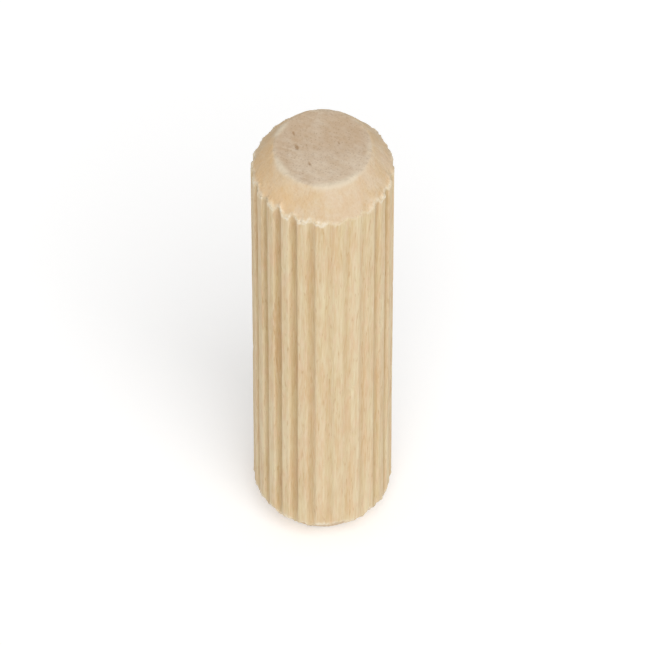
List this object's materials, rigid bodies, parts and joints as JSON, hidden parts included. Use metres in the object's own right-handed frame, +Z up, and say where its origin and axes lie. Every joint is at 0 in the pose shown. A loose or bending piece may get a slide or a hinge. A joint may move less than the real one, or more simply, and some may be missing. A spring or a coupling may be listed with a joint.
{
  "type": "dowel pin",
  "caption": "Fluted wooden dowel pin with a tapered lead-in at each end, standing on its end face.",
  "frame": {"origin": "centre of the lower end face, which the pin stands on", "axes": "+Z up along the pin's axis; the pin is the same at both ends, and its flutes are even round the axis"},
  "size_m": [0.01, 0.01, 0.04],
  "materials": {
    "beech": "bare, unsanded"
  },
  "bodies": {
    "root": {"dowel_pin": "beech"}
  },
  "joints": []
}
